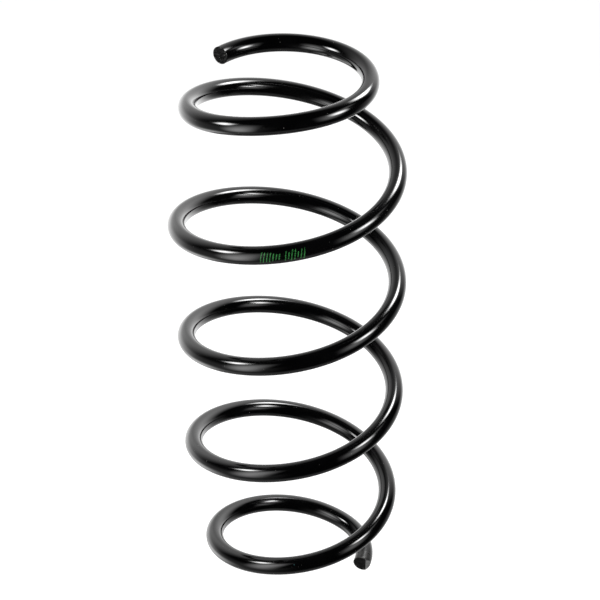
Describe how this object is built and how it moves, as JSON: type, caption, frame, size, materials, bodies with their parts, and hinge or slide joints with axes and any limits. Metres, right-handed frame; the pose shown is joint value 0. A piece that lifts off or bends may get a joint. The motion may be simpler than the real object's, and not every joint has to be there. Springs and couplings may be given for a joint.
{
  "type": "coil spring",
  "caption": "Right-hand wound compression coil spring of round bar for a vehicle suspension strut, open coils between narrower end coils, gloss black.",
  "frame": {"origin": "at the middle of the lower end coil, level with its underside, where the lower spring seat holds it", "axes": "+Z along the coils from the lower end coil to the upper end coil; the lower bar end lies close to +X; +Y completes the frame"},
  "size_m": [0.1581, 0.1588, 0.3953],
  "materials": {
    "black_coating": "gloss black powder coating over steel"
  },
  "bodies": {
    "lower_coil": {"lower_coil_1": "black_coating", "lower_coil_2": "black_coating", "lower_coil_3": "black_coating", "lower_coil_4": "black_coating", "lower_coil_5": "black_coating", "lower_coil_6": "black_coating"},
    "active_coil_1": {"active_coil_1": "black_coating"},
    "active_coil_2": {"active_coil_2": "black_coating"},
    "active_coil_3": {"active_coil_3": "black_coating"},
    "active_coil_4": {"active_coil_4": "black_coating"},
    "active_coil_5": {"active_coil_5": "black_coating"},
    "active_coil_6": {"active_coil_6": "black_coating"},
    "active_coil_7": {"active_coil_7": "black_coating"},
    "active_coil_8": {"active_coil_8": "black_coating"},
    "active_coil_9": {"active_coil_9": "black_coating"},
    "active_coil_10": {"active_coil_10": "black_coating"},
    "active_coil_11": {"active_coil_11": "black_coating"},
    "active_coil_12": {"active_coil_12": "black_coating"},
    "active_coil_13": {"active_coil_13": "black_coating"},
    "active_coil_14": {"active_coil_14": "black_coating"},
    "active_coil_15": {"active_coil_15": "black_coating"},
    "active_coil_16": {"active_coil_16": "black_coating"},
    "active_coil_17": {"active_coil_17": "black_coating"},
    "active_coil_18": {"active_coil_18": "black_coating"},
    "active_coil_19": {"active_coil_19": "black_coating"},
    "active_coil_20": {"active_coil_20": "black_coating"},
    "active_coil_21": {"active_coil_21": "black_coating"},
    "active_coil_22": {"active_coil_22": "black_coating"},
    "active_coil_23": {"active_coil_23": "black_coating"},
    "active_coil_24": {"active_coil_24": "black_coating"},
    "active_coil_25": {"active_coil_25": "black_coating"},
    "active_coil_26": {"active_coil_26": "black_coating"},
    "active_coil_27": {"active_coil_27": "black_coating"},
    "active_coil_28": {"active_coil_28": "black_coating"},
    "active_coil_29": {"active_coil_29": "black_coating"},
    "active_coil_30": {"active_coil_30": "black_coating"},
    "active_coil_31": {"active_coil_31": "black_coating"},
    "upper_coil": {"upper_coil_1": "black_coating", "upper_coil_2": "black_coating", "upper_coil_3": "black_coating", "upper_coil_4": "black_coating", "upper_coil_5": "black_coating", "upper_coil_6": "black_coating"}
  },
  "joints": [
    {"name": "compress", "type": "slide", "parent": "lower_coil", "child": "upper_coil", "axis": [0, 0, 1], "range_m": [-0.18, 0], "stiffness_N_per_m": 19480},
    {"name": "drop_1", "type": "slide", "parent": "lower_coil", "child": "active_coil_1", "axis": [0, 0, 1], "range_m": [-0.00199, 0]},
    {"name": "drop_2", "type": "slide", "parent": "lower_coil", "child": "active_coil_2", "axis": [0, 0, 1], "range_m": [-0.00622, 0]},
    {"name": "drop_3", "type": "slide", "parent": "lower_coil", "child": "active_coil_3", "axis": [0, 0, 1], "range_m": [-0.01084, 0]},
    {"name": "drop_4", "type": "slide", "parent": "lower_coil", "child": "active_coil_4", "axis": [0, 0, 1], "range_m": [-0.01587, 0]},
    {"name": "drop_5", "type": "slide", "parent": "lower_coil", "child": "active_coil_5", "axis": [0, 0, 1], "range_m": [-0.02131, 0]},
    {"name": "drop_6", "type": "slide", "parent": "lower_coil", "child": "active_coil_6", "axis": [0, 0, 1], "range_m": [-0.02694, 0]},
    {"name": "drop_7", "type": "slide", "parent": "lower_coil", "child": "active_coil_7", "axis": [0, 0, 1], "range_m": [-0.0326, 0]},
    {"name": "drop_8", "type": "slide", "parent": "lower_coil", "child": "active_coil_8", "axis": [0, 0, 1], "range_m": [-0.0383, 0]},
    {"name": "drop_9", "type": "slide", "parent": "lower_coil", "child": "active_coil_9", "axis": [0, 0, 1], "range_m": [-0.04401, 0]},
    {"name": "drop_10", "type": "slide", "parent": "lower_coil", "child": "active_coil_10", "axis": [0, 0, 1], "range_m": [-0.04977, 0]},
    {"name": "drop_11", "type": "slide", "parent": "lower_coil", "child": "active_coil_11", "axis": [0, 0, 1], "range_m": [-0.05557, 0]},
    {"name": "drop_12", "type": "slide", "parent": "lower_coil", "child": "active_coil_12", "axis": [0, 0, 1], "range_m": [-0.06142, 0]},
    {"name": "drop_13", "type": "slide", "parent": "lower_coil", "child": "active_coil_13", "axis": [0, 0, 1], "range_m": [-0.06733, 0]},
    {"name": "drop_14", "type": "slide", "parent": "lower_coil", "child": "active_coil_14", "axis": [0, 0, 1], "range_m": [-0.0733, 0]},
    {"name": "drop_15", "type": "slide", "parent": "lower_coil", "child": "active_coil_15", "axis": [0, 0, 1], "range_m": [-0.07934, 0]},
    {"name": "drop_16", "type": "slide", "parent": "lower_coil", "child": "active_coil_16", "axis": [0, 0, 1], "range_m": [-0.08546, 0]},
    {"name": "drop_17", "type": "slide", "parent": "lower_coil", "child": "active_coil_17", "axis": [0, 0, 1], "range_m": [-0.09166, 0]},
    {"name": "drop_18", "type": "slide", "parent": "lower_coil", "child": "active_coil_18", "axis": [0, 0, 1], "range_m": [-0.09796, 0]},
    {"name": "drop_19", "type": "slide", "parent": "lower_coil", "child": "active_coil_19", "axis": [0, 0, 1], "range_m": [-0.10436, 0]},
    {"name": "drop_20", "type": "slide", "parent": "lower_coil", "child": "active_coil_20", "axis": [0, 0, 1], "range_m": [-0.11087, 0]},
    {"name": "drop_21", "type": "slide", "parent": "lower_coil", "child": "active_coil_21", "axis": [0, 0, 1], "range_m": [-0.1175, 0]},
    {"name": "drop_22", "type": "slide", "parent": "lower_coil", "child": "active_coil_22", "axis": [0, 0, 1], "range_m": [-0.12424, 0]},
    {"name": "drop_23", "type": "slide", "parent": "lower_coil", "child": "active_coil_23", "axis": [0, 0, 1], "range_m": [-0.13112, 0]},
    {"name": "drop_24", "type": "slide", "parent": "lower_coil", "child": "active_coil_24", "axis": [0, 0, 1], "range_m": [-0.13814, 0]},
    {"name": "drop_25", "type": "slide", "parent": "lower_coil", "child": "active_coil_25", "axis": [0, 0, 1], "range_m": [-0.1453, 0]},
    {"name": "drop_26", "type": "slide", "parent": "lower_coil", "child": "active_coil_26", "axis": [0, 0, 1], "range_m": [-0.1523, 0]},
    {"name": "drop_27", "type": "slide", "parent": "lower_coil", "child": "active_coil_27", "axis": [0, 0, 1], "range_m": [-0.1587, 0]},
    {"name": "drop_28", "type": "slide", "parent": "lower_coil", "child": "active_coil_28", "axis": [0, 0, 1], "range_m": [-0.16453, 0]},
    {"name": "drop_29", "type": "slide", "parent": "lower_coil", "child": "active_coil_29", "axis": [0, 0, 1], "range_m": [-0.16981, 0]},
    {"name": "drop_30", "type": "slide", "parent": "lower_coil", "child": "active_coil_30", "axis": [0, 0, 1], "range_m": [-0.17461, 0]},
    {"name": "drop_31", "type": "slide", "parent": "lower_coil", "child": "active_coil_31", "axis": [0, 0, 1], "range_m": [-0.17891, 0]}
  ],
  "couplings": [
    {"joint": "drop_1", "follows": "compress", "ratio": 0.011},
    {"joint": "drop_2", "follows": "compress", "ratio": 0.0344},
    {"joint": "drop_3", "follows": "compress", "ratio": 0.0599},
    {"joint": "drop_4", "follows": "compress", "ratio": 0.0877},
    {"joint": "drop_5", "follows": "compress", "ratio": 0.1178},
    {"joint": "drop_6", "follows": "compress", "ratio": 0.1489},
    {"joint": "drop_7", "follows": "compress", "ratio": 0.1802},
    {"joint": "drop_8", "follows": "compress", "ratio": 0.2117},
    {"joint": "drop_9", "follows": "compress", "ratio": 0.2433},
    {"joint": "drop_10", "follows": "compress", "ratio": 0.2751},
    {"joint": "drop_11", "follows": "compress", "ratio": 0.3072},
    {"joint": "drop_12", "follows": "compress", "ratio": 0.3395},
    {"joint": "drop_13", "follows": "compress", "ratio": 0.3722},
    {"joint": "drop_14", "follows": "compress", "ratio": 0.4052},
    {"joint": "drop_15", "follows": "compress", "ratio": 0.4386},
    {"joint": "drop_16", "follows": "compress", "ratio": 0.4724},
    {"joint": "drop_17", "follows": "compress", "ratio": 0.5067},
    {"joint": "drop_18", "follows": "compress", "ratio": 0.5415},
    {"joint": "drop_19", "follows": "compress", "ratio": 0.5769},
    {"joint": "drop_20", "follows": "compress", "ratio": 0.6129},
    {"joint": "drop_21", "follows": "compress", "ratio": 0.6495},
    {"joint": "drop_22", "follows": "compress", "ratio": 0.6868},
    {"joint": "drop_23", "follows": "compress", "ratio": 0.7248},
    {"joint": "drop_24", "follows": "compress", "ratio": 0.7636},
    {"joint": "drop_25", "follows": "compress", "ratio": 0.8032},
    {"joint": "drop_26", "follows": "compress", "ratio": 0.8419},
    {"joint": "drop_27", "follows": "compress", "ratio": 0.8773},
    {"joint": "drop_28", "follows": "compress", "ratio": 0.9095},
    {"joint": "drop_29", "follows": "compress", "ratio": 0.9387},
    {"joint": "drop_30", "follows": "compress", "ratio": 0.9652},
    {"joint": "drop_31", "follows": "compress", "ratio": 0.989}
  ]
}
